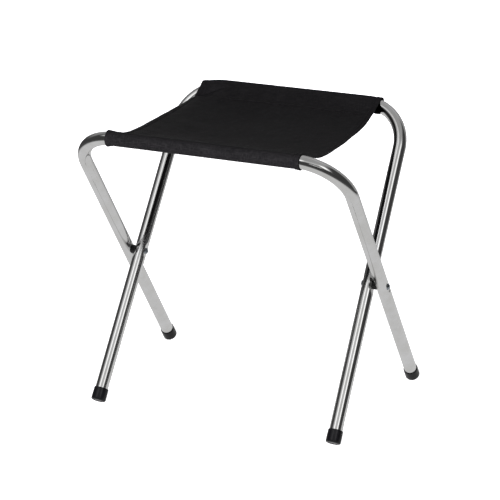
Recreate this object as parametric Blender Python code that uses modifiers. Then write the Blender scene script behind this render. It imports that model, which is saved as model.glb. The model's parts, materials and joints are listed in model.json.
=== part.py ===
"""Folding camp stool: two bent aluminium tubes cross in an X and are riveted together where
they cross, and a fabric seat is slung between their top rails.

Metres, +Z up. The origin is on the floor under the middle of the stool, +X runs along the
rails, and the front of the stool faces -Y. The outer frame has its rail in front and its feet
behind; the inner frame has its rail behind and its feet in front.
"""
import math

import bmesh
import bpy
from mathutils import Vector

# Tubes
TUBE_R = 0.009
TUBE_WALL = 0.0012
BEND_R = 0.062                       # radius of the tube's centre line in a bend
UPPER_LEN = 0.258                    # pivot to the rail's axis, along a leg
LOWER_LEN = 0.222                    # pivot to the sole of a foot cap, along a leg
HALF_ANGLE = math.radians(36.4)      # lean of each frame from the vertical, stool open
OUTER_HALF_W = 0.191                 # leg axis to the middle of the stool, at the pivot
INNER_HALF_W = 0.1712
OUTER_SPLAY = math.radians(0.3)      # how far the legs spread on their way down
INNER_SPLAY = math.radians(0.82)

# Pressed flats where the frames are riveted
DENT_DEPTH = 0.0025                  # on the side that faces the other tube
SEAT_DEPTH = 0.0008                  # under a rivet head
DENT_FLAT_R = 0.007
DENT_BLEND = 0.006

# Rivets and spacers
SHANK_R = 0.0024
HOLE_R = 0.0027
HEAD_R = 0.0045
HEAD_H = 0.0026
TAIL_R = 0.0042
TAIL_H = 0.0022
TAIL_HOLE_R = 0.0015
TAIL_HOLE_DEPTH = 0.004
SPACER_R = 0.0063

# Foot caps
CAP_R = 0.0103
CAP_LEN = 0.018
CAP_FLOOR = 0.003
CAP_ROUND = 0.0025
SOLE_TRIM = 0.0006                   # how much of the rounded edge is worn flat on the floor

# Seat
SLEEVE_R = 0.010
SLEEVE_CLOTH = 0.00065
SEAT_HALF_W = 0.136
FRONT_SHIFT = -0.001                 # the cloth sits a little to the left on its rails
REAR_SHIFT = -0.0075
PANEL_CLOTH = 0.001
PANEL_SAG = 0.015                    # middle of the seat below the rails' axis
PANEL_RISE = 0.003                   # edge of the panel above the rails' axis
PANEL_POWER = 4                      # flat in the middle, steep beside the rails
PANEL_GAP = 0.0015                   # to the sleeves, which turn inward with the bends

GAP = 0.0003                         # between pieces that touch
TUBE_SIDES = 16
BEND_STEPS = 9
DENT_STEPS = 12
ROUND_STEPS = 24
MERGE = 0.00001

# Heights and places that follow from the above
RAIL_Y = UPPER_LEN * math.sin(HALF_ANGLE)
SOLE_DROP = ((LOWER_LEN - CAP_ROUND) * math.cos(HALF_ANGLE)
             + (CAP_R - CAP_ROUND) * math.sin(HALF_ANGLE) + CAP_ROUND)
PIVOT_Z = SOLE_DROP - SOLE_TRIM
PANEL_EDGE_Y = RAIL_Y - SLEEVE_R - PANEL_GAP


def clear_scene():
    for item in list(bpy.data.objects):
        bpy.data.objects.remove(item, do_unlink=True)


def new_collection(name):
    group = bpy.data.collections.new(name)
    bpy.context.scene.collection.children.link(group)
    return group


def material(name, colour, roughness, metallic=0.0):
    mat = bpy.data.materials.new(name)
    mat.use_nodes = True
    shader = mat.node_tree.nodes["Principled BSDF"]
    shader.inputs["Base Color"].default_value = (*colour, 1.0)
    shader.inputs["Roughness"].default_value = roughness
    shader.inputs["Metallic"].default_value = metallic
    return mat


def add_object(name, mesh, group, mat=None, parent=None):
    item = bpy.data.objects.new(name, mesh)
    group.objects.link(item)
    item.parent = parent
    if mat is not None:
        mesh.materials.clear()
        mesh.materials.append(mat)
    return item


def add_empty(name, group, location, tilt, parent=None):
    empty = bpy.data.objects.new(name, None)
    group.objects.link(empty)
    empty.parent = parent
    empty.location = location
    empty.rotation_euler = (tilt, 0.0, 0.0)
    return empty


def smooth_step(t):
    t = min(max(t, 0.0), 1.0)
    return t * t * (3.0 - 2.0 * t)


def leg_x(half_w, splay, v):
    """Distance of a leg's axis from the middle at height v along the frame."""
    return half_w - v * math.tan(splay)


def half_path(half_w, splay, end_v):
    """Centre line of the right half of a U, from its foot to the end of its straight rail.

    Points are (x, 0, v) in the frame's own plane, with v = 0 at the pivot.
    """
    reach = DENT_FLAT_R * 2.0
    heights = [end_v]
    heights += [-reach + 2.0 * reach * i / DENT_STEPS for i in range(DENT_STEPS + 1)]
    points = [Vector((leg_x(half_w, splay, v), 0.0, v)) for v in heights]
    centre_v = UPPER_LEN - BEND_R
    tangent_v = centre_v + BEND_R * math.sin(splay)
    centre_x = leg_x(half_w, splay, tangent_v) - BEND_R * math.cos(splay)
    sweep = math.pi / 2.0 - splay
    for i in range(BEND_STEPS + 1):
        a = splay + sweep * i / BEND_STEPS
        points.append(Vector((centre_x + BEND_R * math.cos(a), 0.0, centre_v + BEND_R * math.sin(a))))
    return points


def u_path(half_w, splay, end_v):
    right = half_path(half_w, splay, end_v)
    left = [Vector((-p.x, 0.0, p.z)) for p in reversed(right)]
    return right + left


def clip_path(points, low_x, high_x):
    """The stretch of a rail's centre line between two x values, as (x, 0, v below the rail)."""
    rail = [p for p in points if p.z > UPPER_LEN - BEND_R]
    kept = []
    for a, b in zip(rail, rail[1:]):
        for x in (high_x, low_x):
            if b.x < x < a.x:
                kept.append(a.lerp(b, (a.x - x) / (a.x - b.x)))
        if low_x < b.x < high_x:
            kept.append(b.copy())
    return [Vector((p.x, 0.0, p.z - UPPER_LEN)) for p in sorted(kept, key=lambda p: -p.x)]


def swept_mesh(name, points, radius):
    """An open round skin along the points, made from a bevelled curve."""
    curve = bpy.data.curves.new(name, "CURVE")
    curve.dimensions = "3D"
    curve.bevel_depth = radius
    curve.bevel_resolution = TUBE_SIDES // 2 - 2
    spline = curve.splines.new("POLY")
    spline.points.add(len(points) - 1)
    for target, point in zip(spline.points, points):
        target.co = (*point, 1.0)
    item = bpy.data.objects.new(name, curve)
    bpy.context.scene.collection.objects.link(item)
    depsgraph = bpy.context.evaluated_depsgraph_get()
    mesh = bpy.data.meshes.new_from_object(item.evaluated_get(depsgraph))
    bpy.data.objects.remove(item, do_unlink=True)
    bm = bmesh.new()
    bm.from_mesh(mesh)
    bmesh.ops.remove_doubles(bm, verts=bm.verts, dist=MERGE)
    bmesh.ops.recalc_face_normals(bm, faces=bm.faces)
    bm.to_mesh(mesh)
    bm.free()
    return mesh


def press_flats(mesh, half_w, dent_side):
    """Presses the flats at both pivots. dent_side is -1 when the dent faces the middle."""
    for vertex in mesh.vertices:
        side = math.copysign(1.0, vertex.co.x)
        out = (side * vertex.co.x - half_w) * dent_side
        r = math.hypot(vertex.co.y, vertex.co.z)
        if r > DENT_FLAT_R + DENT_BLEND:
            continue
        rise = smooth_step((r - DENT_FLAT_R) / DENT_BLEND)
        dent = TUBE_R - DENT_DEPTH * (1.0 - rise)
        seat = TUBE_R - SEAT_DEPTH * (1.0 - rise)
        out = min(max(out, -seat), dent)
        vertex.co.x = side * (half_w + out * dent_side)


def add_solidify(item, thickness):
    shell = item.modifiers.new("wall", "SOLIDIFY")
    shell.thickness = thickness
    shell.offset = -1.0
    shell.use_even_offset = True


def add_cut(item, cutter):
    cut = item.modifiers.new("cut_" + cutter.name, "BOOLEAN")
    cut.operation = "DIFFERENCE"
    cut.solver = "EXACT"
    cut.object = cutter


def claim_primitive(name, group):
    """Names the primitive just added and moves it to the collection."""
    item = bpy.context.object
    item.name = name
    item.data.name = name
    for old in list(item.users_collection):
        old.objects.unlink(item)
    group.objects.link(item)
    return item


def as_cutter(item):
    item.hide_render = True
    item.display_type = "WIRE"


def turned(name, profile, group, mat, parent, closed=False):
    """A body of revolution about its local Z. The profile runs down its outer side."""
    mesh = bpy.data.meshes.new(name)
    bm = bmesh.new()
    verts = [bm.verts.new((r, 0.0, z)) for r, z in profile]
    for a, b in zip(verts, verts[1:]):
        bm.edges.new((a, b))
    if closed:
        bm.edges.new((verts[-1], verts[0]))
    bm.to_mesh(mesh)
    bm.free()
    item = add_object(name, mesh, group, mat, parent)
    screw = item.modifiers.new("turn", "SCREW")
    screw.steps = ROUND_STEPS
    screw.render_steps = ROUND_STEPS
    screw.use_merge_vertices = True
    screw.merge_threshold = MERGE
    screw.use_smooth_shade = True
    return item


def arc(centre_r, centre_z, radius, start, end, steps):
    """Points (r, z) of an arc, angles in degrees from +r towards +z."""
    points = []
    for i in range(steps + 1):
        a = math.radians(start + (end - start) * i / steps)
        points.append((centre_r + radius * math.cos(a), centre_z + radius * math.sin(a)))
    return points


def make_tube(name, half_w, splay, dent_side, group, cutters, mat, pivot):
    end_v = -(LOWER_LEN - CAP_FLOOR - GAP)
    mesh = swept_mesh(name, u_path(half_w, splay, end_v), TUBE_R)
    press_flats(mesh, half_w, dent_side)
    mesh.shade_smooth()
    tube = add_object(name, mesh, group, mat, pivot)
    add_solidify(tube, TUBE_WALL)
    for side, label in ((-1.0, "left"), (1.0, "right")):
        bpy.ops.mesh.primitive_cylinder_add(vertices=ROUND_STEPS, radius=HOLE_R, depth=TUBE_R * 4.0)
        hole = claim_primitive(f"{name}_{label}_hole", cutters)
        as_cutter(hole)
        hole.parent = pivot
        hole.location = (side * half_w, 0.0, 0.0)
        hole.rotation_euler = (0.0, math.pi / 2.0, 0.0)
        add_cut(tube, hole)
    return tube


def make_cap(name, half_w, splay, side, group, floor_block, mat, pivot):
    inner_r = TUBE_R + GAP
    lip = (CAP_R - inner_r) * 0.4
    profile = [(0.0, CAP_FLOOR), (inner_r, CAP_FLOOR), (inner_r, CAP_LEN)]
    profile += arc(CAP_R - lip, CAP_LEN - lip, lip, 90, 0, 2)
    profile += arc(CAP_R - CAP_ROUND, CAP_ROUND, CAP_ROUND, 0, -90, 5)
    profile += [(0.0, 0.0)]
    cap = turned(name, profile, group, mat, pivot)
    cap.location = (side * leg_x(half_w, splay, -LOWER_LEN), 0.0, -LOWER_LEN)
    cap.rotation_euler = (0.0, -side * splay, 0.0)
    add_cut(cap, floor_block)
    return cap


def make_rivet(name, side, group, mat, pivot):
    """Domed head outside the outer tube, rolled tail inside the inner tube."""
    head_z = OUTER_HALF_W + TUBE_R - SEAT_DEPTH + GAP
    tail_z = INNER_HALF_W - TUBE_R + SEAT_DEPTH - GAP
    dome_r = (HEAD_R ** 2 + HEAD_H ** 2) / (2.0 * HEAD_H)
    half_sweep = math.degrees(math.asin(HEAD_R / dome_r))
    profile = arc(0.0, head_z + HEAD_H - dome_r, dome_r, 90, 90 - half_sweep, 5)
    profile[0] = (0.0, head_z + HEAD_H)
    profile += [(SHANK_R, head_z), (SHANK_R, tail_z), (TAIL_R, tail_z)]
    roll_r = (TAIL_R - TAIL_HOLE_R) / 2.0
    roll = arc(0.0, 0.0, 1.0, 0, -180, 6)
    profile += [(TAIL_HOLE_R + roll_r * (1.0 + c), tail_z - TAIL_H * (0.35 - 0.65 * s)) for c, s in roll]
    profile += [(TAIL_HOLE_R, tail_z + TAIL_HOLE_DEPTH), (0.0, tail_z + TAIL_HOLE_DEPTH)]
    rivet = turned(name, profile, group, mat, pivot)
    rivet.rotation_euler = (0.0, side * math.pi / 2.0, 0.0)
    return rivet


def make_spacer(name, side, group, mat, pivot):
    """Plastic ring between the two pressed flats."""
    high = OUTER_HALF_W - TUBE_R + DENT_DEPTH - GAP
    low = INNER_HALF_W + TUBE_R - DENT_DEPTH + GAP
    edge = 0.0005
    profile = [(HOLE_R, high)]
    profile += arc(SPACER_R - edge, high - edge, edge, 90, 0, 2)
    profile += arc(SPACER_R - edge, low + edge, edge, 0, -90, 2)
    profile += [(HOLE_R, low)]
    spacer = turned(name, profile, group, mat, pivot, closed=True)
    spacer.rotation_euler = (0.0, side * math.pi / 2.0, 0.0)
    return spacer


def make_sleeve(name, half_w, splay, shift, group, mat, rail):
    """Cloth tunnel that the rail passes through; it follows the start of each bend."""
    path = clip_path(u_path(half_w, splay, -LOWER_LEN), shift - SEAT_HALF_W, shift + SEAT_HALF_W)
    mesh = swept_mesh(name, path, SLEEVE_R)
    mesh.shade_smooth()
    sleeve = add_object(name, mesh, group, mat, rail)
    add_solidify(sleeve, SLEEVE_CLOTH)
    return sleeve


def panel_height(y):
    """Height of the seat above the rails' axis, y from the middle of the stool."""
    return -PANEL_SAG + (PANEL_SAG + PANEL_RISE) * abs(y / PANEL_EDGE_Y) ** PANEL_POWER


def make_panel(name, direction, group, mat, rail, tilt):
    """Half of the seat, from the middle line to its rail. direction is -1 for the front."""
    bpy.ops.mesh.primitive_grid_add(x_subdivisions=6, y_subdivisions=8, size=2.0)
    panel = claim_primitive(name, group)
    panel.parent = rail
    panel.rotation_euler = (-tilt, 0.0, 0.0)
    panel.data.materials.append(mat)
    near = GAP / 2.0
    middle_shift = (FRONT_SHIFT + REAR_SHIFT) / 2.0
    slant = (REAR_SHIFT - FRONT_SHIFT) / (2.0 * RAIL_Y)
    for vertex in panel.data.vertices:
        u, w = vertex.co.x, (vertex.co.y * direction + 1.0) / 2.0
        y = direction * (near + (PANEL_EDGE_Y - near) * w)
        x = SEAT_HALF_W * u + middle_shift + slant * y
        vertex.co = (x, y - direction * RAIL_Y, panel_height(y) + PANEL_CLOTH / 2.0)
    add_solidify(panel, PANEL_CLOTH)
    return panel


def main():
    clear_scene()
    stool = new_collection("camp_stool")
    cutters = new_collection("cutters")

    aluminium = material("aluminium", (0.80, 0.80, 0.79), 0.22, 1.0)
    steel = material("rivet_steel", (0.62, 0.62, 0.63), 0.28, 1.0)
    plastic = material("black_plastic", (0.02, 0.02, 0.021), 0.42)
    cloth = material("black_cloth", (0.017, 0.017, 0.018), 0.85)

    bpy.ops.mesh.primitive_cube_add(size=1.0, location=(0.0, 0.0, -0.5))
    floor_block = claim_primitive("floor_block", cutters)
    as_cutter(floor_block)

    outer_pivot = add_empty("outer_frame_pivot", stool, (0.0, 0.0, PIVOT_Z), HALF_ANGLE)
    inner_pivot = add_empty("inner_frame_pivot", stool, (0.0, 0.0, PIVOT_Z), -HALF_ANGLE)
    rail_place = (0.0, 0.0, UPPER_LEN)
    front_rail = add_empty("front_rail_axis", stool, rail_place, 0.0, outer_pivot)
    rear_rail = add_empty("rear_rail_axis", stool, rail_place, 0.0, inner_pivot)

    outer = (OUTER_HALF_W, OUTER_SPLAY)
    inner = (INNER_HALF_W, INNER_SPLAY)
    make_tube("outer_tube", *outer, -1.0, stool, cutters, aluminium, outer_pivot)
    make_tube("inner_tube", *inner, 1.0, stool, cutters, aluminium, inner_pivot)
    for side, label in ((-1.0, "left"), (1.0, "right")):
        make_cap(f"rear_{label}_foot_cap", *outer, side, stool, floor_block, plastic, outer_pivot)
        make_cap(f"front_{label}_foot_cap", *inner, side, stool, floor_block, plastic, inner_pivot)
        make_rivet(f"{label}_rivet", side, stool, steel, outer_pivot)
        make_spacer(f"{label}_spacer", side, stool, plastic, outer_pivot)
    make_sleeve("front_sleeve", *outer, FRONT_SHIFT, stool, cloth, front_rail)
    make_sleeve("rear_sleeve", *inner, REAR_SHIFT, stool, cloth, rear_rail)
    make_panel("front_panel", -1.0, stool, cloth, front_rail, HALF_ANGLE)
    make_panel("rear_panel", 1.0, stool, cloth, rear_rail, -HALF_ANGLE)


main()
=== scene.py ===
"""Looks for the folding camp stool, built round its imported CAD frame.

Everything is in the frame's own metres: +Z up, +X along the rails, front at -Y. The U-shaped
tubes, caps, rivets and spacers are finely made stand-ins for the CAD nodes of the same shape.
The seat is one black cloth, made as a front and a rear half that meet along the middle line,
because each half turns about its own rail when the stool folds.
"""
import json
import math

import bmesh
import bpy
import numpy as np
from mathutils import Matrix, Vector, noise


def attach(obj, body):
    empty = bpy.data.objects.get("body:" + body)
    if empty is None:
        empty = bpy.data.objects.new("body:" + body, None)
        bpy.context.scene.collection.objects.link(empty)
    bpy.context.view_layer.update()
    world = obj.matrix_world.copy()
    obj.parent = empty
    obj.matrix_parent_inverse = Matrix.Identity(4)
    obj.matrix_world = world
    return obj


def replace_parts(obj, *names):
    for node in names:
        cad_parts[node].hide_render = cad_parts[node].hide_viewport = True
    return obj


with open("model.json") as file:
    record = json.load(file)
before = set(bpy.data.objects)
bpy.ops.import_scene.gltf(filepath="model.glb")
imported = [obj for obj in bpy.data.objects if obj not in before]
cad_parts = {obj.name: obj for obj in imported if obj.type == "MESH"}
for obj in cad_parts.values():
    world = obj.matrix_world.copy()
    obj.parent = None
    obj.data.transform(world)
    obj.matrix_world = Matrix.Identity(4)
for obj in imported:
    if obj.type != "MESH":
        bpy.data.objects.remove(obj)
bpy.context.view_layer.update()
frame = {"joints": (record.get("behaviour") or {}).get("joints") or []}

# ---------------------------------------------------------------- places read from the frame
JOINTS = {joint["name"]: joint for joint in frame["joints"]}
PIVOT = Vector(JOINTS["fold"]["pos_m"])
REAR_RAIL = Vector(JOINTS["rear_sleeve_turn"]["pos_m"])
RAIL_Y = REAR_RAIL.y
RAIL_Z = REAR_RAIL.z
LEAN = math.atan2(RAIL_Y, RAIL_Z - PIVOT.z)
UPPER_LEN = math.hypot(RAIL_Y, RAIL_Z - PIVOT.z)

# ---------------------------------------------------------------- sizes
# These are the CAD's, but for slightly narrower pressed flats and deeper seats under the rivets.
TUBE_R = 0.009
TUBE_WALL = 0.0012
BEND_R = 0.062                       # radius of the tube's centre line in a bend
LOWER_LEN = 0.222                    # pivot to the sole of a foot cap, along a leg
OUTER = {"half_w": 0.191, "splay": math.radians(0.3), "lean": LEAN, "dent_side": -1.0}
INNER = {"half_w": 0.1712, "splay": math.radians(0.82), "lean": -LEAN, "dent_side": 1.0}
DENT_DEPTH = 0.0025                  # flat pressed where a spacer bears
SEAT_DEPTH = 0.0013                  # shallower flat under a rivet's head or tail
DENT_FLAT_R = 0.0062                 # radius of a flat, before it blends back into the round
DENT_BLEND = 0.0068
TUBE_SIDES = 64
BEND_RINGS = 36
GAP = 0.0003                         # clearance between a tube's end and its cap
TOUCH = 0.0001                       # clearance left between pieces that bear on each other

SHANK_R = 0.0024
HOLE_R = 0.0027
HEAD_R = 0.0045
HEAD_H = 0.0026
TAIL_R = 0.0042
TAIL_H = 0.0021
TAIL_HOLE_R = 0.0015
SPACER_R = 0.0063
SPACER_EDGE = 0.0007
CAP_R = 0.0103
CAP_LEN = 0.018
CAP_FLOOR = 0.003
CAP_ROUND = 0.0025
CAP_LIP = 0.00045
SOLE_Z = 0.00002                     # the worn sole, just above the floor
ROUND_SIDES = 64

CLOTH = 0.0006                       # thickness of one layer
LOOP_R = TUBE_R + 0.00045            # radius of the cloth's middle surface round a rail
SEAT_HALF_W = 0.136
FRONT_SHIFT = -0.001                 # how far the front and rear tunnels sit off centre along x
REAR_SHIFT = -0.0075
SEAM_D = 0.032                       # seam of each tunnel, from its rail's axis
SEAM_Z = -0.0032                     # height of the seam over the rail's axis
HEM_END = 0.009                      # turned-under edge beyond the seam
SIDE_HEM = 0.0075                    # width of the side hems
HEM_RAISE = 0.0005                   # extra thickness of the side hems
LEFT_DRAW = 0.0028                   # how far the slack pulls the left edge inwards
# Columns of the cloth's mesh near a side edge, in millimetres from it: close together at the hem.
EDGE_STEPS = (0.0, 0.5, 1.0, 1.6, 2.4, 3.4, 4.6, 5.4, 6.0, 6.6, 7.1, 7.5, 7.9, 8.4, 9.2, 10.4, 12.0)
MID_STEPS = 112
# Rows of the cloth's mesh: turned-under hem, underside, round the rail, top to the seam, panel.
HEM_ROWS = 6
LAYER_ROWS = 12
LOOP_ROWS = 46
UPPER_ROWS = 13
PANEL_ROWS = 54
SOFT_ROWS = 9                        # rows before the seam where its crease starts to be rounded
SOFT_ROUNDS = 9
YARN = 0.00062                       # pitch of the weave
STITCH_IN = 0.006                    # side hem's stitches, from the cloth's edge
STITCH_PITCH = 0.0031
STITCH_LEN = 0.0025

FLOOR_BOUNCE = 0.60                  # how bright the white floor is in the tubes
FLOOR_END = 0.07                     # the same past the white area, in front and to the sides
ROOM_GLOW = 0.062                    # the studio's walls between the soft boxes
CEILING = 0.38                       # extra light straight overhead
DULL_SHARE = 0.35                    # share of the studio's light that reaches dull surfaces
CAMERA_FROM_PIVOT = (1.0390, -2.3500, 0.9120)
CAMERA_TILT = 19.061                 # degrees down
CAMERA_TURN = 23.915                 # degrees from looking along +Y
CAMERA_LENS = 142.67                 # millimetres, on a 36 mm sensor


def smooth_step(t):
    t = np.clip(t, 0.0, 1.0)
    return t * t * (3.0 - 2.0 * t)


# ---------------------------------------------------------------- node helpers
def new_material(name, colour, roughness, metallic=0.0):
    """A Principled material. Noise linked to a socket later takes the place of its plain value."""
    mat = bpy.data.materials.new(name)
    mat.use_nodes = True
    tree = mat.node_tree
    shader = tree.nodes["Principled BSDF"]
    shader.inputs["Base Color"].default_value = (*colour, 1.0)
    shader.inputs["Roughness"].default_value = roughness
    shader.inputs["Metallic"].default_value = metallic
    return mat, tree, shader


def node(tree, kind, values=(), **settings):
    made = tree.nodes.new(kind)
    for key, value in settings.items():
        setattr(made, key, value)
    for key, value in dict(values).items():
        made.inputs[key].default_value = value
    return made


def link(tree, source, target):
    tree.links.new(source, target)


def math_node(tree, operation, a, b=None):
    made = node(tree, "ShaderNodeMath", operation=operation)
    for socket, value in zip(made.inputs, (a, b)):
        if value is None:
            continue
        if isinstance(value, (int, float)):
            socket.default_value = value
        else:
            link(tree, value, socket)
    return made.outputs[0]


def stretched_noise(tree, coords, scale, stretch, detail=3.0, roughness=0.55):
    """Noise with scale times stretch features per metre along each axis."""
    mapping = node(tree, "ShaderNodeMapping", {"Scale": stretch})
    link(tree, coords, mapping.inputs["Vector"])
    made = node(tree, "ShaderNodeTexNoise",
                {"Scale": scale, "Detail": detail, "Roughness": roughness})
    link(tree, mapping.outputs[0], made.inputs["Vector"])
    return made.outputs["Fac"]


def ramp(tree, factor, low, high, start=0.0, end=1.0):
    """Maps factor, from start to end, onto low to high."""
    made = node(tree, "ShaderNodeMapRange",
                {"From Min": start, "From Max": end, "To Min": low, "To Max": high})
    link(tree, factor, made.inputs["Value"])
    return made.outputs[0]


def add_bump(tree, shader, height, strength, distance):
    """Fine relief; distance is in metres for a height of 1."""
    bump = node(tree, "ShaderNodeBump", {"Strength": strength, "Distance": distance})
    link(tree, height, bump.inputs["Height"])
    link(tree, bump.outputs[0], shader.inputs["Normal"])


# ---------------------------------------------------------------- materials
def aluminium_material():
    """Drawn tube: bright metal with faint lines along its length and small handling marks."""
    mat, tree, shader = new_material("drawn_aluminium", (0.78, 0.78, 0.775), 0.15, 1.0)
    along = node(tree, "ShaderNodeUVMap", uv_map="along").outputs[0]
    lines = stretched_noise(tree, along, 1.0, (420.0, 9.0, 1.0), 4.0, 0.6)
    patches = stretched_noise(tree, node(tree, "ShaderNodeTexCoord").outputs["Object"],
                              38.0, (1.0, 1.0, 1.0), 4.0, 0.6)
    rough = math_node(tree, "ADD", ramp(tree, lines, 0.07, 0.14), ramp(tree, patches, -0.01, 0.04))
    link(tree, rough, shader.inputs["Roughness"])
    tint = node(tree, "ShaderNodeMix", data_type="RGBA")
    tint.inputs["A"].default_value = (0.72, 0.715, 0.70, 1.0)
    tint.inputs["B"].default_value = (0.82, 0.82, 0.825, 1.0)
    link(tree, ramp(tree, patches, 0.0, 1.0, 0.3, 0.7), tint.inputs["Factor"])
    link(tree, tint.outputs["Result"], shader.inputs["Base Color"])
    add_bump(tree, shader, lines, 0.05, 0.0002)
    return mat


def steel_material():
    """Plated steel rivet: darker than the tube, with a fine grain."""
    mat, tree, shader = new_material("rivet_steel", (0.30, 0.33, 0.36), 0.24, 1.0)
    coords = node(tree, "ShaderNodeTexCoord").outputs["Object"]
    grain = stretched_noise(tree, coords, 900.0, (1.0, 1.0, 1.0), 3.0)
    link(tree, ramp(tree, grain, 0.18, 0.34), shader.inputs["Roughness"])
    add_bump(tree, shader, grain, 0.12, 0.0001)
    return mat


def plastic_material(name, colour, low, high):
    """Moulded plastic: an even dark colour, fine grain, and scuffs that dull the gloss."""
    mat, tree, shader = new_material(name, colour, low)
    shader.inputs["Specular IOR Level"].default_value = 0.24
    coords = node(tree, "ShaderNodeTexCoord").outputs["Object"]
    scuffs = stretched_noise(tree, coords, 260.0, (1.0, 1.0, 0.35), 5.0, 0.65)
    grain = stretched_noise(tree, coords, 2600.0, (1.0, 1.0, 1.0), 2.0)
    link(tree, ramp(tree, scuffs, low, high), shader.inputs["Roughness"])
    tint = node(tree, "ShaderNodeMix", data_type="RGBA")
    tint.inputs["A"].default_value = (*colour, 1.0)
    tint.inputs["B"].default_value = (*[c * 1.6 + 0.001 for c in colour], 1.0)
    link(tree, ramp(tree, scuffs, 0.0, 1.0, 0.45, 0.75), tint.inputs["Factor"])
    link(tree, tint.outputs["Result"], shader.inputs["Base Color"])
    add_bump(tree, shader, grain, 0.12, 0.00008)
    return mat


def cloth_material():
    """Black plain-woven cloth with uneven yarns, cloudy in tone, with painted shade in the dips between
    the yarns of its weave, and hardly any gloss.
    """
    mat, tree, shader = new_material("black_cloth", (0.014, 0.014, 0.0145), 0.82)
    shader.inputs["Sheen Weight"].default_value = 0.002
    shader.inputs["Sheen Roughness"].default_value = 0.35
    shader.inputs["Sheen Tint"].default_value = (0.82, 0.82, 0.88, 1.0)
    shader.inputs["Specular IOR Level"].default_value = 0.025
    shader.inputs["Specular Tint"].default_value = (1.0, 0.90, 1.0, 1.0)
    uv = node(tree, "ShaderNodeUVMap", uv_map="weave").outputs[0]
    split = node(tree, "ShaderNodeSeparateXYZ")
    link(tree, uv, split.inputs[0])
    warp = math_node(tree, "MULTIPLY", split.outputs["X"], math.pi / YARN)
    weft = math_node(tree, "MULTIPLY", split.outputs["Y"], math.pi / YARN)
    sin_warp = math_node(tree, "SINE", warp)
    sin_weft = math_node(tree, "SINE", weft)
    over = math_node(tree, "GREATER_THAN", math_node(tree, "MULTIPLY", sin_warp, sin_weft), 0.0)
    warp_height = math_node(tree, "ABSOLUTE", sin_warp)
    weft_height = math_node(tree, "ABSOLUTE", sin_weft)
    weave = node(tree, "ShaderNodeMix", data_type="FLOAT")
    link(tree, over, weave.inputs["Factor"])
    link(tree, warp_height, weave.inputs["A"])
    link(tree, weft_height, weave.inputs["B"])
    cross_slubs = stretched_noise(tree, uv, 1.0, (85.0, 780.0, 1.0), 2.0, 0.6)
    slubs = stretched_noise(tree, uv, 1.0, (780.0, 150.0, 1.0), 2.0, 0.6)
    slubs = math_node(tree, "MAXIMUM", slubs, cross_slubs)
    mottle = stretched_noise(tree, uv, 1.0, (34.0, 46.0, 1.0), 5.0, 0.62)
    tint = node(tree, "ShaderNodeMix", data_type="RGBA")
    tint.inputs["A"].default_value = (0.0060, 0.0060, 0.0064, 1.0)
    tint.inputs["B"].default_value = (0.0175, 0.0170, 0.0175, 1.0)
    shade = math_node(tree, "ADD",
                      ramp(tree, mottle, 0.28, 0.56, 0.32, 0.70),
                      ramp(tree, slubs, -0.36, 0.50, 0.45, 0.72))
    # Painted shade: the weave's height lightens each yarn's crown and darkens the dips between the
    # yarns. The mottle and slubs are the yarns' own uneven tone.
    shade = math_node(tree, "ADD", shade, ramp(tree, weave.outputs[0], -0.12, 0.12))
    link(tree, shade, tint.inputs["Factor"])
    link(tree, tint.outputs["Result"], shader.inputs["Base Color"])
    link(tree, ramp(tree, mottle, 0.42, 0.52), shader.inputs["Roughness"])
    height = math_node(tree, "ADD", weave.outputs[0], ramp(tree, slubs, 0.0, 6.0))
    add_bump(tree, shader, height, 0.5, 0.00004)
    return mat


def thread_material():
    """Dull black sewing thread."""
    mat, tree, shader = new_material("black_thread", (0.006, 0.006, 0.0062), 0.6)
    shader.inputs["Specular IOR Level"].default_value = 0.05
    coords = node(tree, "ShaderNodeTexCoord").outputs["Object"]
    twist = stretched_noise(tree, coords, 4200.0, (1.0, 1.0, 1.0), 2.0)
    link(tree, ramp(tree, twist, 0.38, 0.62), shader.inputs["Roughness"])
    add_bump(tree, shader, twist, 0.4, 0.0001)
    return mat


# ---------------------------------------------------------------- mesh helpers
def mesh_object(name, verts, faces, mat, body, uv=None, uv_name="weave", sharp=40.0):
    """A piece from points and faces; uv gives one flat place per point, in metres."""
    mesh = bpy.data.meshes.new(name)
    mesh.from_pydata([tuple(v) for v in verts], [], [tuple(f) for f in faces])
    if uv is not None:
        layer = mesh.uv_layers.new(name=uv_name)
        corners = np.zeros(len(mesh.loops), np.int32)
        mesh.loops.foreach_get("vertex_index", corners)
        layer.data.foreach_set("uv", np.asarray(uv, np.float32)[corners].ravel())
    return finish_mesh(name, mesh, mat, body, sharp)


def finish_mesh(name, mesh, mat, body, sharp):
    """Makes the mesh a piece: its material, shading and body."""
    mesh.materials.append(mat)
    mesh.shade_smooth()
    mesh.set_sharp_from_angle(angle=math.radians(sharp))
    item = bpy.data.objects.new(name, mesh)
    bpy.context.scene.collection.objects.link(item)
    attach(item, body)
    return item


def in_frame(part, u, w, v):
    """World places of points given as (x, depth, height) in a tilted frame's own plane."""
    c, s = math.cos(part["lean"]), math.sin(part["lean"])
    return np.stack([u, c * w - s * v, PIVOT.z + s * w + c * v], axis=-1)


def leg_x(part, v):
    """Distance of a leg's axis from the middle at height v along the frame, from the pivot."""
    return part["half_w"] - v * math.tan(part["splay"])


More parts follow.
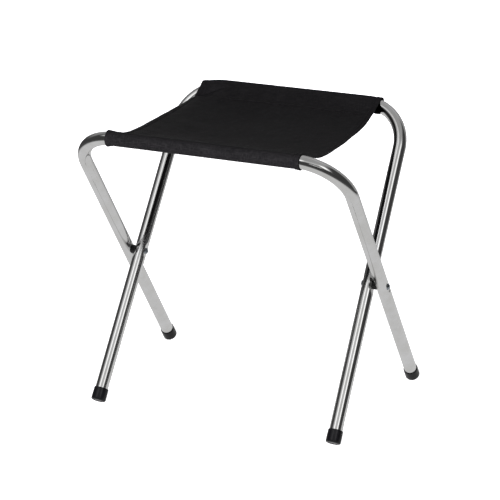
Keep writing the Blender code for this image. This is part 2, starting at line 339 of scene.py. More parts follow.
def half_path(part):
    """Centre line (x, v) and tangent of the right half of a U, from the foot to the rail."""
    end = -(LOWER_LEN - CAP_FLOOR - GAP)
    reach = DENT_FLAT_R + DENT_BLEND + 0.001
    centre_v = UPPER_LEN - BEND_R
    top = centre_v + BEND_R * math.sin(part["splay"])
    heights = np.concatenate([
        np.linspace(end, -reach, 12, endpoint=False),
        np.linspace(-reach, reach, 44, endpoint=False),
        np.linspace(reach, top, 12, endpoint=False),
    ])
    straight = np.stack([leg_x(part, heights), heights], axis=1)
    lean = np.array([-math.sin(part["splay"]), math.cos(part["splay"])])
    centre_x = leg_x(part, top) - BEND_R * math.cos(part["splay"])
    angles = np.linspace(part["splay"], math.pi / 2.0, BEND_RINGS + 1)
    bend = np.stack([centre_x + BEND_R * np.cos(angles), centre_v + BEND_R * np.sin(angles)], axis=1)
    turn = np.stack([-np.sin(angles), np.cos(angles)], axis=1)
    rail = np.stack([np.linspace(centre_x, 0.0, 9)[1:], np.full(8, UPPER_LEN)], axis=1)
    points = np.concatenate([straight, bend, rail])
    tangents = np.concatenate([np.tile(lean, (len(straight), 1)), turn,
                               np.tile([-1.0, 0.0], (len(rail), 1))])
    bend_share = np.concatenate([np.zeros(len(straight)), np.linspace(0.0, 1.0, BEND_RINGS + 1),
                                 np.zeros(len(rail))])
    return points, tangents, bend_share


def full_path(part):
    """The right half's path and its mirror image, from foot to foot."""
    points, tangents, share = half_path(part)
    mirrored = points[:-1][::-1] * [-1.0, 1.0]
    back = tangents[:-1][::-1] * [1.0, -1.0]
    return (np.concatenate([points, mirrored]), np.concatenate([tangents, back]),
            np.concatenate([share, share[:-1][::-1]]))


def press(part, x, w, v, wall):
    """Presses the flats where the frames are riveted; wall is how far inside the skin x lies."""
    side = np.sign(x)
    out = (side * x - part["half_w"]) * part["dent_side"]
    r = np.hypot(w, v)
    rise = smooth_step((r - DENT_FLAT_R) / DENT_BLEND)
    keep = r > DENT_FLAT_R + DENT_BLEND
    dent = TUBE_R - wall - DENT_DEPTH * (1.0 - rise)
    seat = TUBE_R - wall - SEAT_DEPTH * (1.0 - rise)
    pressed = np.minimum(np.maximum(out, -seat), dent)
    return np.where(keep, x, side * (part["half_w"] + pressed * part["dent_side"]))


def tube_skin(part, radius, wall):
    """Rings of one skin as an array (rings, sides, 3) in the frame's own (x, depth, v)."""
    points, tangents, share = full_path(part)
    a = np.linspace(0.0, 2.0 * math.pi, TUBE_SIDES, endpoint=False)
    outward = np.stack([tangents[:, 1], -tangents[:, 0]], axis=1)
    bulge = np.sin(share * math.pi) ** 2
    in_plane = radius * (1.0 - 0.022 * bulge)
    depth = radius * (1.0 + 0.015 * bulge)
    mark = np.exp(-((share - 0.13) / 0.035) ** 2) + 0.6 * np.exp(-((share - 0.24) / 0.04) ** 2)
    inside = np.clip(-np.cos(a), 0.0, 1.0) ** 3
    dip = 0.00018 * mark[:, None] * inside[None, :]      # small ripples from the bending tool
    across = in_plane[:, None] * np.cos(a)[None, :] + dip
    x = points[:, 0, None] + outward[:, 0, None] * across
    v = points[:, 1, None] + outward[:, 1, None] * across
    w = depth[:, None] * np.sin(a)[None, :]
    x = press(part, x, w, v, wall)
    return x, w, v, points


def make_tube(name, part, body, mat):
    """One bent tube, open at both ends, with its rivet holes cut."""
    outer_x, outer_w, outer_v, points = tube_skin(part, TUBE_R, 0.0)
    inner_x, inner_w, inner_v, _ = tube_skin(part, TUBE_R - TUBE_WALL, TUBE_WALL)
    rings = len(points)
    outer = in_frame(part, outer_x, outer_w, outer_v).reshape(-1, 3)
    inner = in_frame(part, inner_x, inner_w, inner_v).reshape(-1, 3)
    offset = rings * TUBE_SIDES
    faces = []
    for i in range(rings - 1):
        for j in range(TUBE_SIDES):
            a, b = i * TUBE_SIDES + j, i * TUBE_SIDES + (j + 1) % TUBE_SIDES
            c, d = b + TUBE_SIDES, a + TUBE_SIDES
            faces.append((a, b, c, d))
            faces.append((offset + d, offset + c, offset + b, offset + a))
    last = (rings - 1) * TUBE_SIDES
    for j in range(TUBE_SIDES):
        k = (j + 1) % TUBE_SIDES
        faces.append((j, offset + j, offset + k, k))
        faces.append((last + k, offset + last + k, offset + last + j, last + j))
    steps = np.r_[0.0, np.cumsum(np.linalg.norm(np.diff(points, axis=0), axis=1))]
    around = np.abs(np.linspace(-1.0, 1.0, TUBE_SIDES, endpoint=False)) * TUBE_R
    uv = np.stack(np.broadcast_arrays(around[None, :], steps[:, None]), axis=-1).reshape(-1, 2)
    verts = np.concatenate([outer, inner])
    tube = mesh_object(name, verts, faces, mat, body, np.tile(uv, (2, 1)), "along", 50.0)
    cut_rivet_holes(tube, part)
    return tube


def cut_rivet_holes(tube, part):
    """Cuts the two rivet holes through both walls of each leg."""
    for side in (-1.0, 1.0):
        bm = bmesh.new()
        bmesh.ops.create_cone(bm, cap_ends=True, segments=32, radius1=HOLE_R, radius2=HOLE_R,
                              depth=TUBE_R * 4.0)
        mesh = bpy.data.meshes.new("hole")
        bm.to_mesh(mesh)
        bm.free()
        cutter = bpy.data.objects.new("hole", mesh)
        bpy.context.scene.collection.objects.link(cutter)
        cutter.rotation_euler = (0.0, math.pi / 2.0, 0.0)
        cutter.location = (side * part["half_w"], PIVOT.y, PIVOT.z)
        cut = tube.modifiers.new("hole", "BOOLEAN")
        cut.operation = "DIFFERENCE"
        cut.solver = "EXACT"
        cut.object = cutter
        bpy.context.view_layer.update()
        done = bpy.data.meshes.new_from_object(
            tube.evaluated_get(bpy.context.evaluated_depsgraph_get()))
        tube.modifiers.clear()
        tube.data = done
        bpy.data.objects.remove(cutter, do_unlink=True)
    tube.data.name = tube.name


def lathe(name, profile, place, mat, body, sides=ROUND_SIDES, closed=False, sharp=35.0):
    """Turns (r, z) points about local Z. Points with r = 0 become a single pole."""
    verts, rows = [], []
    for r, z in profile:
        if r < 1e-9:
            rows.append([len(verts)] * sides)
            verts.append((0.0, 0.0, z))
            continue
        rows.append(list(range(len(verts), len(verts) + sides)))
        for i in range(sides):
            a = 2.0 * math.pi * i / sides
            verts.append((r * math.cos(a), r * math.sin(a), z))
    pairs = list(zip(rows, rows[1:]))
    if closed:
        pairs.append((rows[-1], rows[0]))
    faces = []
    for low, high in pairs:
        for i in range(sides):
            j = (i + 1) % sides
            quad = [low[i], high[i], high[j], low[j]]
            faces.append([k for n, k in enumerate(quad) if k not in quad[:n]])
    bm = bmesh.new()
    made = [bm.verts.new(place @ Vector(v)) for v in verts]
    for face in faces:
        bm.faces.new([made[k] for k in face])
    bmesh.ops.recalc_face_normals(bm, faces=bm.faces)
    mesh = bpy.data.meshes.new(name)
    bm.to_mesh(mesh)
    bm.free()
    return finish_mesh(name, mesh, mat, body, sharp)


def arc(centre_r, centre_z, radius, start, end, steps):
    """Points (r, z) along an arc, angles in degrees."""
    points = []
    for i in range(steps + 1):
        a = math.radians(start + (end - start) * i / steps)
        points.append((centre_r + radius * math.cos(a), centre_z + radius * math.sin(a)))
    return points


# ---------------------------------------------------------------- hard parts
def cap_place(part, side):
    """Local Z runs up the leg from the middle of the cap's sole."""
    foot = in_frame(part, np.array(side * leg_x(part, -LOWER_LEN)), np.array(0.0), np.array(-LOWER_LEN))
    turn = Matrix.Rotation(part["lean"], 4, "X") @ Matrix.Rotation(-side * part["splay"], 4, "Y")
    return Matrix.Translation(Vector(foot)) @ turn


def make_cap(name, part, side, body, mat):
    """Slip-on foot cap: a slightly tapered cup with a rounded sole, worn flat on the floor."""
    inner_r = TUBE_R + TOUCH
    mouth_r = CAP_R - 0.0002
    profile = [(0.0, CAP_FLOOR), (inner_r - 0.0006, CAP_FLOOR), (inner_r, CAP_FLOOR + 0.0006)]
    profile += [(inner_r, CAP_LEN - CAP_LIP * 0.5)]
    profile += arc(mouth_r - CAP_LIP, CAP_LEN - CAP_LIP, CAP_LIP, 110, 0, 6)
    profile += [(mouth_r, CAP_LEN - 0.0022), (CAP_R, CAP_LEN * 0.5)]
    profile += arc(CAP_R - CAP_ROUND, CAP_ROUND, CAP_ROUND, 0, -90, 10)
    profile += [(CAP_R - CAP_ROUND - 0.0006, 0.0), (CAP_R - CAP_ROUND - 0.0014, 0.0006)]
    profile += [(0.0, 0.0006)]
    cap = lathe(name, profile, cap_place(part, side), mat, body)
    bm = bmesh.new()
    bm.from_mesh(cap.data)
    everything = list(bm.verts) + list(bm.edges) + list(bm.faces)
    cut = bmesh.ops.bisect_plane(bm, geom=everything, plane_co=(0.0, 0.0, SOLE_Z),
                                 plane_no=(0.0, 0.0, 1.0), clear_inner=True)
    edges = [e for e in cut["geom_cut"] if isinstance(e, bmesh.types.BMEdge)]
    bmesh.ops.holes_fill(bm, edges=edges)
    bmesh.ops.recalc_face_normals(bm, faces=bm.faces)
    bm.to_mesh(cap.data)
    bm.free()
    cap.data.set_sharp_from_angle(angle=math.radians(35.0))
    return cap


def rivet_axis(side):
    """Local Z runs outwards along the pivot's axis, on the given side."""
    return Matrix.Translation(PIVOT) @ Matrix.Rotation(side * math.pi / 2.0, 4, "Y")


def make_rivet(name, side, mat):
    """Domed head outside the outer tube and a rolled, hollow tail inside the inner tube."""
    head_z = OUTER["half_w"] + TUBE_R - SEAT_DEPTH + TOUCH
    tail_z = INNER["half_w"] - TUBE_R + SEAT_DEPTH - TOUCH
    dome_r = (HEAD_R ** 2 + HEAD_H ** 2) / (2.0 * HEAD_H)
    sweep = math.degrees(math.asin(HEAD_R / dome_r))
    profile = arc(0.0, head_z + HEAD_H - dome_r, dome_r, 90, 90 - sweep * 0.97, 14)
    profile[0] = (0.0, head_z + HEAD_H)
    profile += [(HEAD_R, head_z + 0.00025), (HEAD_R - 0.0003, head_z), (SHANK_R, head_z)]
    profile += [(SHANK_R, tail_z), (TAIL_R - 0.0002, tail_z)]
    roll = (TAIL_R - TAIL_HOLE_R) / 2.0
    for c, s in arc(0.0, 0.0, 1.0, 20, -180, 14):
        profile.append((TAIL_HOLE_R + roll * (1.0 + c), tail_z - TAIL_H * (0.42 - 0.58 * s)))
    profile += [(TAIL_HOLE_R, tail_z + 0.003), (TAIL_HOLE_R * 0.6, tail_z + 0.0038)]
    profile += [(0.0, tail_z + 0.004)]
    return lathe(name, profile, rivet_axis(side), mat, "outer_frame", 48)


def make_spacer(name, side, mat):
    """Round-edged plastic ring that keeps the two pressed flats apart."""
    high = OUTER["half_w"] - TUBE_R + DENT_DEPTH - TOUCH
    low = INNER["half_w"] + TUBE_R - DENT_DEPTH + TOUCH
    profile = [(HOLE_R, high)]
    profile += arc(SPACER_R - SPACER_EDGE, high - SPACER_EDGE, SPACER_EDGE, 90, 0, 5)
    profile += arc(SPACER_R - SPACER_EDGE, low + SPACER_EDGE, SPACER_EDGE, 0, -90, 5)
    profile += [(HOLE_R, low)]
    return lathe(name, profile, rivet_axis(side), mat, "outer_frame", 48, True)


# ---------------------------------------------------------------- the cloth seat
def rail_drop(part, x):
    """How far the tube's axis has come down its leg at x, along the frame."""
    centre_x = (leg_x(part, UPPER_LEN - BEND_R + BEND_R * math.sin(part["splay"]))
                - BEND_R * math.cos(part["splay"]))
    over = np.clip(np.abs(x) - centre_x, 0.0, BEND_R * 0.95)
    return BEND_R - np.sqrt(BEND_R ** 2 - over ** 2)


def middle_sag(u):
    """Height of the middle line over the seat's width, u from -1 (left) to 1 (right)."""
    left = smooth_step((u + 1.0) / 0.62)
    droop = 0.0006 * smooth_step((u - 0.55) / 0.45)
    return -0.0085 - 0.0068 * left - droop + 0.0008 * np.sin(u * 4.2 + 0.5)


def hills(u, y, scale, seed, stretch=(1.0, 1.0)):
    """Smooth deterministic noise over the seat, one value per point."""
    x = u * SEAT_HALF_W
    flat = [noise.noise(Vector((a * scale * stretch[0], b * scale * stretch[1], seed)))
            for a, b in zip(x.ravel(), y.ravel())]
    return np.array(flat).reshape(u.shape)


def wrinkles(u, y):
    """Height of the panel's small folds: broad waves, puckers along the seams, drags to the
    corners, slanting folds behind the rear seam, and one crease at the rear left corner."""
    seam = RAIL_Y - SEAM_D
    rear = np.exp(-((y - seam + 0.010) / 0.016) ** 2)
    front = np.exp(-((y + seam - 0.010) / 0.013) ** 2)
    broad = (0.0011 * hills(u, y, 17.0, 3.1) + 0.0006 * hills(u, y, 38.0, 7.7)
             + 0.00024 * hills(u, y, 105.0, 33.0))
    puckers = hills(u, y, 92.0, 12.4, (1.0, 0.28))
    drag = np.zeros_like(u)
    for side_u, side_y, way, size in ((-1.0, 1.0, -0.42, 0.0013), (1.0, 1.0, 0.50, 0.0012),
                                      (-1.0, -1.0, 0.38, 0.0007), (1.0, -1.0, -0.45, 0.0009)):
        across = (u - side_u) * SEAT_HALF_W - way * (y - side_y * seam)
        reach = np.hypot((u - side_u) * SEAT_HALF_W, y - side_y * seam)
        drag += size * np.cos(across / 0.0075) * np.exp(-(reach / 0.048) ** 2)
    # The panel's own folds end before the tunnels, and nothing moves the cloth close to a rail.
    fade = smooth_step((RAIL_Y - SEAM_D * 0.55 - np.abs(y)) / 0.020)
    turned = 0.62 * y + 0.78 * u * SEAT_HALF_W
    band = np.exp(-((y - RAIL_Y + 0.022) / 0.011) ** 2)
    slants = hills(turned / SEAT_HALF_W, y, 70.0, 21.3, (1.0, 0.35)) * band * 0.0009
    corner = crease(u, y, (-0.143, RAIL_Y - 0.038), (-0.106, RAIL_Y - 0.013), 0.0065)
    all_over = broad + 0.0009 * rear * puckers + 0.00045 * front * puckers + drag
    clear = smooth_step((RAIL_Y - np.abs(y) - 0.009) / 0.010)
    return all_over * fade + (slants - 0.0040 * corner) * clear


def crease(u, y, start, end, width):
    """1 along the line from start to end (x, y), fading off to both sides and past its ends."""
    x = u * SEAT_HALF_W + REAR_SHIFT
    start, end = np.array(start), np.array(end)
    run = end - start
    length = float(np.hypot(*run))
    run = run / length
    along = (x - start[0]) * run[0] + (y - start[1]) * run[1]
    across = (x - start[0]) * run[1] - (y - start[1]) * run[0]
    past = np.maximum(np.maximum(-along, along - length), 0.0)
    return np.exp(-(across / width) ** 2 - (past / (2.0 * width)) ** 2)


def loop_profile(part, u, rear):
    """One column of cloth from the turned-under hem, round the rail, to the seam's top.

    Returns its points and the seam as (d, z): the distance from the rail's axis towards the
    middle, and the height above it. Past the ends of the straight rail the underside follows
    the tube down its bend, and the top follows it part of the way.
    """
    shift = REAR_SHIFT if rear else FRONT_SHIFT
    x = u * SEAT_HALF_W + shift
    drop = float(rail_drop(part, np.array(x)))
    dd, dz = drop * math.sin(LEAN), -drop * math.cos(LEAN)
    in_from_edge = (1.0 - abs(u)) * SEAT_HALF_W
    flare = 0.0009 if (u < 0.0 and not rear) else 0.0005
    radius = LOOP_R + flare * math.exp(-(in_from_edge / 0.0035) ** 2)
    radius -= 0.00025 * math.exp(-((in_from_edge - SIDE_HEM - 0.0006) / 0.0011) ** 2)
    seam = np.array([SEAM_D - 0.25 * dd, SEAM_Z + 0.72 * dz])
    up, low = np.array([0.25 * dd, 0.45 * dz]), np.array([dd, dz])
    under = seam + [0.0, -(CLOTH + 0.00012)]

    def tangent(centre, point, sign):
        rel = point - centre
        reach = float(np.hypot(*rel))
        return math.atan2(rel[1], rel[0]) + sign * math.acos(radius / reach)

    start = tangent(low, under, -1.0) + 2.0 * math.pi
    stop = tangent(up, seam, 1.0)
    angles = np.linspace(start, stop, LOOP_ROWS)
    share = smooth_step((math.radians(217.0) - angles) / math.radians(42.0))[:, None]
    centre = low + (up - low) * share
    ring = centre + radius * np.stack([np.cos(angles), np.sin(angles)], axis=1)
    slope = np.array([1.0, -0.12])
    hem = under + slope[None, :] * np.linspace(HEM_END, 0.0, HEM_ROWS, endpoint=False)[:, None]
    layer = under + (ring[0] - under) * np.linspace(0.0, 1.0, LAYER_ROWS, endpoint=False)[:, None]
    upper = ring[-1] + (seam - ring[-1]) * np.linspace(0.0, 1.0, UPPER_ROWS + 1)[1:, None]
    return np.concatenate([hem, layer, ring, upper]), seam


def soften(points, keep, rounds):
    """Rounds the crease at the seam without moving the loop or the middle line."""
    out = points.copy()
    for _ in range(rounds):
        out[keep:-1] = (out[keep - 1:-2] + 2.0 * out[keep:-1] + out[keep + 1:]) / 4.0
    return out


def half_surface(rear):
    """Middle surface of one half of the seat: world points, flat coordinates, rows in the loop."""
    part = INNER if rear else OUTER
    sign = 1.0 if rear else -1.0
    edge = 1.0 - np.array(EDGE_STEPS) * 0.001 / SEAT_HALF_W
    us = np.concatenate([-edge, np.linspace(-edge[-1], edge[-1], MID_STEPS)[1:-1], edge[::-1]])
    columns = []
    for u in us:
        loop, seam = loop_profile(part, float(u), rear)
        t = np.linspace(0.0, 1.0, PANEL_ROWS + 1)[1:]
        d = seam[0] + (RAIL_Y - seam[0]) * t
        share = ((RAIL_Y - d) / (RAIL_Y - seam[0])) ** 3
        sag = float(middle_sag(np.array(u)))
        z = sag + (seam[1] - sag) * share
        column = np.concatenate([loop, np.stack([d, z], axis=1)])
        columns.append(soften(column, len(loop) - SOFT_ROWS, SOFT_ROUNDS))
    grid = np.array(columns)
    d, z = grid[..., 0], grid[..., 1]
    y = sign * (RAIL_Y - d)
    u = np.broadcast_to(us[:, None], y.shape)
    top_rows = np.arange(y.shape[1]) >= len(loop) - (UPPER_ROWS + 1)
    x_edge = u * SEAT_HALF_W + (FRONT_SHIFT + REAR_SHIFT) / 2.0
    x = x_edge + (REAR_SHIFT - FRONT_SHIFT) / (2.0 * RAIL_Y) * y
    free = 1.0 - smooth_step((np.abs(y) - 0.098) / 0.024)
    x = x + LEFT_DRAW * free * ((1.0 - u) / 2.0) ** 10
    loop_x = u * SEAT_HALF_W + (REAR_SHIFT if rear else FRONT_SHIFT)
    x = np.where(top_rows[None, :], x, loop_x)
    under_share = smooth_step((d - SEAM_D * 0.5) / (SEAM_D * 0.36))
    z = z + np.where(top_rows[None, :], 1.0, under_share) * wrinkles(u, y)
    points = np.stack([x, y, RAIL_Z + z], axis=-1)
    steps = np.linalg.norm(np.diff(points, axis=1), axis=2)
    along = np.concatenate([np.zeros((len(us), 1)), np.cumsum(steps, axis=1)], axis=1)
    along = along - along[:, -1:]
    flat = np.stack([u * SEAT_HALF_W, along * sign], axis=-1)
    return points, flat, len(loop)


def grid_normals(points, sign):
    """Unit normals of a grid of points."""
    across = np.gradient(points, axis=0)
    along = np.gradient(points, axis=1)
    normal = np.cross(across, along) * sign
    return normal / np.linalg.norm(normal, axis=2, keepdims=True)


def make_half(name, rear, body, nodes, mat):
    """One half of the seat as a closed thin solid, thicker along its side hems."""
    points, flat, loop_rows = half_surface(rear)
    sign = 1.0 if rear else -1.0
    normal = grid_normals(points, -sign)
    columns, rows = points.shape[:2]
    from_edge = SEAT_HALF_W - np.abs(flat[..., 0])
    raised = HEM_RAISE * (1.0 - smooth_step((from_edge - SIDE_HEM + 0.0005) / 0.0010))
    outside = points + normal * (CLOTH / 2.0 + raised)[..., None]
    inside = points - normal * (CLOTH / 2.0)
    verts = np.concatenate([outside.reshape(-1, 3), inside.reshape(-1, 3)])
    uv = np.tile(flat.reshape(-1, 2), (2, 1))
    offset = columns * rows
    faces = []
    for i in range(columns - 1):
        for j in range(rows - 1):
            a, b = i * rows + j, (i + 1) * rows + j
            quad = (a + 1, b + 1, b, a) if rear else (b, b + 1, a + 1, a)
            faces.append(quad)
            faces.append(tuple(offset + k for k in quad[::-1]))
    rim = [i * rows for i in range(columns)]
    rim += [(columns - 1) * rows + j for j in range(1, rows)]
    rim += [i * rows + rows - 1 for i in range(columns - 2, -1, -1)]
    rim += [j for j in range(rows - 2, 0, -1)]
    for a, b in zip(rim, rim[1:] + rim[:1]):
        quad = (a, b, offset + b, offset + a)
        faces.append(quad if rear else quad[::-1])
    cloth = mesh_object(name, verts, faces, mat, body, uv)
    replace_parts(cloth, *nodes)
    return cloth, points, normal, loop_rows


def stitch_row(places, normals, radius):
    """Capsule stitches along a polyline that lies on the cloth."""
    steps = np.r_[0.0, np.cumsum(np.linalg.norm(np.diff(places, axis=0), axis=1))]
    verts, faces = [], []
    count = int((steps[-1] - STITCH_LEN) / STITCH_PITCH)
    for k in range(count):
        middle = 0.5 * STITCH_LEN + 0.0006 + k * STITCH_PITCH
        spots = [middle + STITCH_LEN * t for t in (-0.5, -0.36, 0.0, 0.36, 0.5)]
        sizes = (0.15, 0.8, 1.0, 0.8, 0.15)
        centres = [np.array([np.interp(s, steps, places[:, i]) for i in range(3)]) for s in spots]
        up = np.array([np.interp(middle, steps, normals[:, i]) for i in range(3)])
        up /= np.linalg.norm(up)
        run = centres[-1] - centres[0]
        run /= np.linalg.norm(run)
        side = np.cross(run, up)
        base = len(verts)
        for centre, size in zip(centres, sizes):
            for a in range(6):
                turn = math.pi / 3.0 * a
                ring = side * math.cos(turn) + up * math.sin(turn)
                verts.append(centre + up * radius * (size * 0.75 - 0.25) + ring * radius * size)
        for r in range(4):
            for a in range(6):
                b = (a + 1) % 6
                p, q = base + r * 6, base + (r + 1) * 6
                faces.append((p + a, q + a, q + b, p + b))
        faces.append(tuple(base + a for a in range(6)))
        faces.append(tuple(base + 24 + a for a in reversed(range(6))))
    return verts, faces


def join_rows(rows):
    """Several rows of stitches as one set of points and faces."""
    verts, faces = [], []
    for row_verts, row_faces in rows:
        base = len(verts)
        verts += row_verts
        faces += [tuple(base + k for k in face) for face in row_faces]
    return verts, faces


def make_stitches(name, points, normal, loop_rows, body, mat):
    """One row along the tunnel's seam, above and below, and one along each side hem."""
    lift = CLOTH / 2.0
    rows = []
    for row, sunk, radius in ((loop_rows - 1, 0.00012, 0.00016), (HEM_ROWS - 1, 0.0, 0.00022)):
        line = points[2:-2, row] + normal[2:-2, row] * (lift - sunk)
        rows.append(stitch_row(line, normal[2:-2, row], radius))
    stitch_column = EDGE_STEPS.index(STITCH_IN * 1000.0)
    for column in (stitch_column, points.shape[0] - 1 - stitch_column):
        line = points[column, :-1] + normal[column, :-1] * (lift + HEM_RAISE)
        rows.append(stitch_row(line, normal[column, :-1], 0.00018))
    verts, faces = join_rows(rows)
    return mesh_object(name, verts, faces, mat, body, sharp=80.0)


# ---------------------------------------------------------------- studio
def make_floor():
    """Plain pale floor. The camera sees it evenly white; in reflections it fades with distance."""
    bm = bmesh.new()
    bmesh.ops.create_circle(bm, cap_ends=True, segments=96, radius=2.6)
    mesh = bpy.data.meshes.new("floor")
    bm.to_mesh(mesh)
    bm.free()
    floor = bpy.data.objects.new("floor", mesh)
    bpy.context.scene.collection.objects.link(floor)
    mat, tree, shader = new_material("pale_floor", (0.80, 0.80, 0.80), 0.9)
    shader.inputs["Specular IOR Level"].default_value = 0.0
    shader.inputs["Emission Color"].default_value = (1.0, 1.0, 1.0, 1.0)
    shader.inputs["Emission Strength"].default_value = 0.93
    split = node(tree, "ShaderNodeSeparateXYZ")
    link(tree, node(tree, "ShaderNodeNewGeometry").outputs["Position"], split.inputs[0])
    ahead = math_node(tree, "MINIMUM", split.outputs["Y"], 0.0)
    squares = math_node(tree, "ADD", math_node(tree, "POWER", split.outputs["X"], 2.0),
                        math_node(tree, "MULTIPLY", ahead, ahead))
    fall = node(tree, "ShaderNodeMapRange", interpolation_type="SMOOTHSTEP")
    fall.inputs["From Min"].default_value = 0.72 ** 2
    fall.inputs["From Max"].default_value = 1.30 ** 2
    fall.inputs["To Min"].default_value = FLOOR_BOUNCE
    fall.inputs["To Max"].default_value = FLOOR_END
    link(tree, squares, fall.inputs["Value"])
    deep = node(tree, "ShaderNodeMapRange", interpolation_type="SMOOTHSTEP")    # dimmer at the back
    deep.inputs["From Min"].default_value = 0.25
    deep.inputs["From Max"].default_value = 1.50
    deep.inputs["To Min"].default_value = 1.05
    deep.inputs["To Max"].default_value = 0.70
    link(tree, split.outputs["Y"], deep.inputs["Value"])
    bounce = node(tree, "ShaderNodeEmission")
    light = math_node(tree, "MULTIPLY", fall.outputs[0], deep.outputs[0])
    link(tree, softer_for_cloth(tree, light), bounce.inputs["Strength"])
    choose = node(tree, "ShaderNodeMixShader")
    link(tree, node(tree, "ShaderNodeLightPath").outputs["Is Camera Ray"], choose.inputs[0])
    link(tree, bounce.outputs[0], choose.inputs[1])
    link(tree, shader.outputs[0], choose.inputs[2])
    link(tree, choose.outputs[0], tree.nodes["Material Output"].inputs["Surface"])
    mesh.materials.append(mat)


def soft_box(tree, direction, azimuth, elevation, width, height, power, edge=5.0):
    """Radiance of a soft-edged rectangular light at infinity, angles in degrees."""
    split = node(tree, "ShaderNodeSeparateXYZ")
    turn = node(tree, "ShaderNodeVectorRotate", rotation_type="Z_AXIS")
    turn.inputs["Angle"].default_value = math.radians(-azimuth)
    link(tree, direction, turn.inputs["Vector"])
    link(tree, turn.outputs[0], split.inputs[0])
    ahead = math_node(tree, "MULTIPLY", split.outputs["Y"], -1.0)
    az = math_node(tree, "ARCTAN2", split.outputs["X"], ahead)
    el = math_node(tree, "ARCSINE", split.outputs["Z"])

    def inside(angle, centre, size):
        off = math_node(tree, "ABSOLUTE", math_node(tree, "SUBTRACT", angle, math.radians(centre)))
        step = node(tree, "ShaderNodeMapRange", interpolation_type="SMOOTHSTEP")
        step.inputs["From Min"].default_value = math.radians(size / 2.0 + edge)
        step.inputs["From Max"].default_value = math.radians(size / 2.0 - edge)
        link(tree, off, step.inputs["Value"])
        return step.outputs[0]

    both = math_node(tree, "MULTIPLY", inside(az, 0.0, width), inside(el, elevation, height))
    return math_node(tree, "MULTIPLY", both, power)


def softer_for_cloth(tree, strength):
    """Keeps the studio bright in reflections and dimmer as plain light on dull surfaces."""
    shiny = node(tree, "ShaderNodeLightPath").outputs["Is Glossy Ray"]
    share = math_node(tree, "ADD", math_node(tree, "MULTIPLY", shiny, 1.0 - DULL_SHARE), DULL_SHARE)
    return math_node(tree, "MULTIPLY", strength, share)


def make_world():
    """A dim studio with soft boxes overhead; the camera itself sees plain white."""
    world = bpy.data.worlds.new("studio")
    bpy.context.scene.world = world
    world.use_nodes = True
    tree = world.node_tree
    tree.nodes.clear()
    direction = node(tree, "ShaderNodeTexCoord").outputs["Generated"]
    # azimuth from the front (-Y) towards +X, elevation, width, height, strength, edge softness
    boxes = (
        (0.0, 44.0, 150.0, 18.0, 0.62, 6.0),
        (-18.0, 46.0, 26.0, 18.0, 0.95, 5.0),
        (-58.0, 50.0, 26.0, 12.0, 0.40, 6.0),
        (54.0, 36.0, 20.0, 22.0, 1.25, 5.0),
        (22.0, 22.0, 26.0, 6.0, 1.00, 3.0),
        (180.0, 16.0, 92.0, 84.0, 0.36, 12.0),
        (-116.0, 34.0, 44.0, 34.0, 0.26, 12.0),
    )
    total = ROOM_GLOW
    for azimuth, elevation, width, height, power, edge in boxes:
        light = soft_box(tree, direction, azimuth, elevation, width, height, power, edge)
        total = math_node(tree, "ADD", light, total)
    split = node(tree, "ShaderNodeSeparateXYZ")
    link(tree, direction, split.inputs[0])
    overhead = node(tree, "ShaderNodeMapRange", interpolation_type="SMOOTHSTEP")
    overhead.inputs["From Min"].default_value = math.sin(math.radians(44.0))
    overhead.inputs["From Max"].default_value = math.sin(math.radians(62.0))
    overhead.inputs["To Max"].default_value = CEILING
    link(tree, split.outputs["Z"], overhead.inputs["Value"])
    total = math_node(tree, "ADD", total, overhead.outputs[0])
    lit = node(tree, "ShaderNodeBackground")
    link(tree, softer_for_cloth(tree, total), lit.inputs["Strength"])
    seen = node(tree, "ShaderNodeBackground", {"Color": (1.0, 1.0, 1.0, 1.0), "Strength": 1.1})
    choose = node(tree, "ShaderNodeMixShader")
    link(tree, node(tree, "ShaderNodeLightPath").outputs["Is Camera Ray"], choose.inputs[0])
    link(tree, lit.outputs[0], choose.inputs[1])
    link(tree, seen.outputs[0], choose.inputs[2])
    out = node(tree, "ShaderNodeOutputWorld")
    link(tree, choose.outputs[0], out.inputs["Surface"])


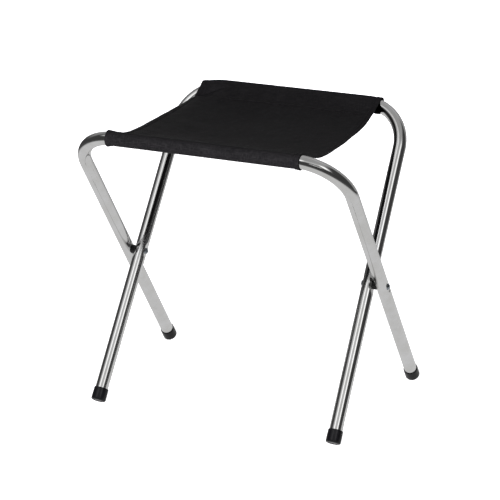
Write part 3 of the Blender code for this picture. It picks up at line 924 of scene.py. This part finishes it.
def make_fill_light(name, place, energy):
    """A large soft panel. It lifts the dark cloth and is kept out of reflections."""
    data = bpy.data.lights.new(name, "AREA")
    data.shape = "DISK"
    data.size = 1.6
    data.energy = energy
    data.color = (1.0, 0.965, 1.02)
    light = bpy.data.objects.new(name, data)
    light.location = PIVOT + Vector(place)
    aim = PIVOT + Vector((0.0, 0.0, 0.1)) - light.location
    light.rotation_euler = aim.to_track_quat("-Z", "Y").to_euler()
    light.visible_glossy = False
    light.visible_camera = False
    bpy.context.scene.collection.objects.link(light)


def make_camera():
    data = bpy.data.cameras.new("camera")
    data.lens = CAMERA_LENS
    data.sensor_width = 36.0
    data.clip_start = 0.1
    camera = bpy.data.objects.new("camera", data)
    camera.location = PIVOT + Vector(CAMERA_FROM_PIVOT)
    camera.rotation_euler = (math.radians(90.0 - CAMERA_TILT), 0.0, math.radians(CAMERA_TURN))
    bpy.context.scene.collection.objects.link(camera)
    bpy.context.scene.camera = camera


def main():
    aluminium = aluminium_material()
    steel = steel_material()
    rubber = plastic_material("cap_plastic", (0.0035, 0.0035, 0.004), 0.11, 0.22)
    ring = plastic_material("spacer_plastic", (0.004, 0.004, 0.004), 0.10, 0.22)
    cloth = cloth_material()
    thread = thread_material()

    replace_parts(make_tube("outer_tube_fine", OUTER, "outer_frame", aluminium), "outer_tube")
    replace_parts(make_tube("inner_tube_fine", INNER, "inner_frame", aluminium), "inner_tube")
    for side, label in ((-1.0, "left"), (1.0, "right")):
        for end, part, body in (("rear", OUTER, "outer_frame"), ("front", INNER, "inner_frame")):
            cap = f"{end}_{label}_foot_cap"
            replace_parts(make_cap(cap + "_fine", part, side, body, rubber), cap)
        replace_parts(make_rivet(f"{label}_rivet_fine", side, steel), f"{label}_rivet")
        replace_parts(make_spacer(f"{label}_spacer_fine", side, ring), f"{label}_spacer")

    for rear, end, tube in ((False, "front", "outer_tube"), (True, "rear", "inner_tube")):
        body = f"seat_{end}"
        half, points, normal, loop_rows = make_half(
            f"seat_cloth_{end}", rear, body, (f"{end}_sleeve", f"{end}_panel"), cloth)
        stitches = make_stitches(f"{end}_stitches", points, normal, loop_rows, body, thread)

    make_floor()
    make_world()
    make_fill_light("front_fill", (0.35, -2.3, 0.50), 140.0)
    make_fill_light("rear_fill", (-0.35, 2.3, 0.42), 50.0)
    make_camera()
    bpy.context.scene.view_settings.view_transform = "Standard"


main()
